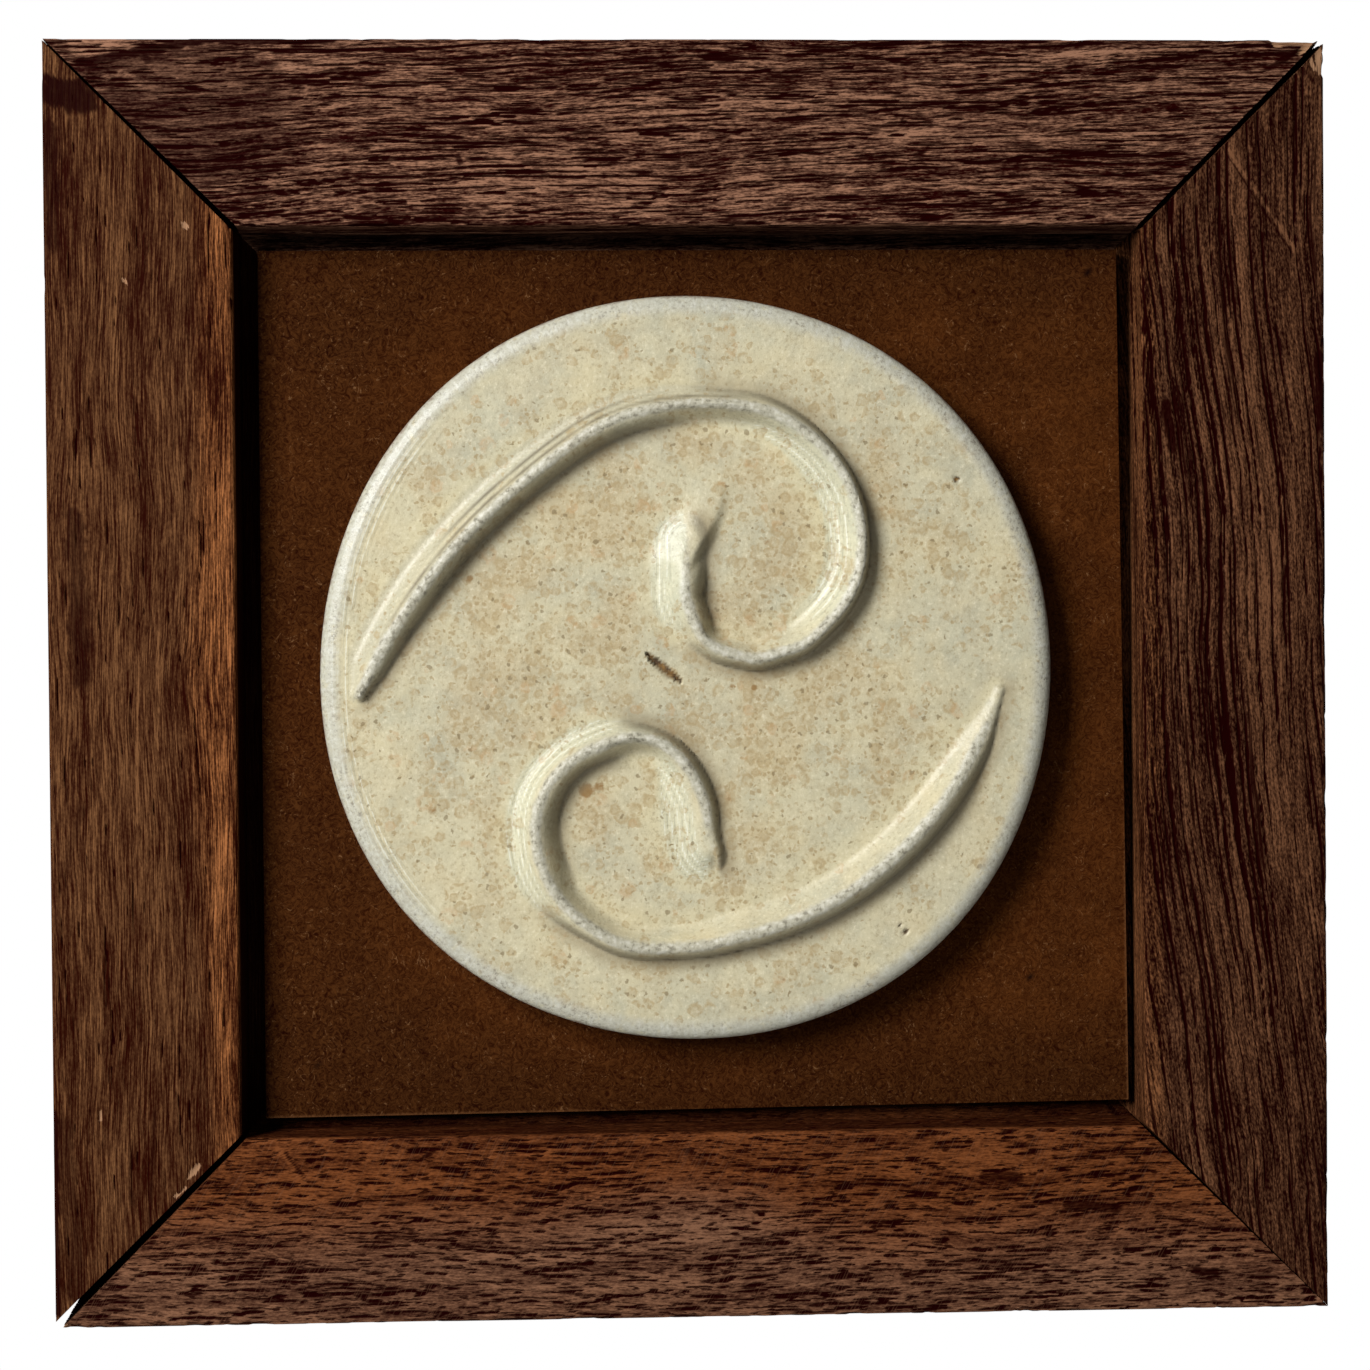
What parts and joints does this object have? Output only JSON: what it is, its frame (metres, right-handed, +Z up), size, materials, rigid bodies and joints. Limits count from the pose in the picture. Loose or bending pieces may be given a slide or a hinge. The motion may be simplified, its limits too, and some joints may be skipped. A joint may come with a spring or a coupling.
{
  "type": "ceramic wall art panel",
  "caption": "Square wall plaque: a glazed ceramic roundel with two scrolls in relief, on a board in a mitred wooden tray frame.",
  "frame": {"origin": "mouth of the nail hole in the back of the top rail, in the plane of the wall", "axes": "+Z up as it hangs, the front faces -Y and the wall is at +Y, +X to the right seen from the front"},
  "size_m": [0.178, 0.0205, 0.178],
  "materials": {
    "wood_top": "stained, open pores, dull satin",
    "wood_right": "stained dark, open pores, dull satin",
    "wood_bottom": "stained, open pores, dull satin",
    "wood_left": "stained, fine straight grain, dull satin",
    "board": "pressed wood fibre, matt",
    "glaze": "satin cream glaze with iron speckle, thin and grey on the crests"
  },
  "bodies": {
    "root": {"rail_top": "wood_top", "rail_right": "wood_right", "rail_bottom": "wood_bottom", "rail_left": "wood_left", "mount_board": "board", "ceramic_roundel": "glaze"}
  },
  "joints": []
}
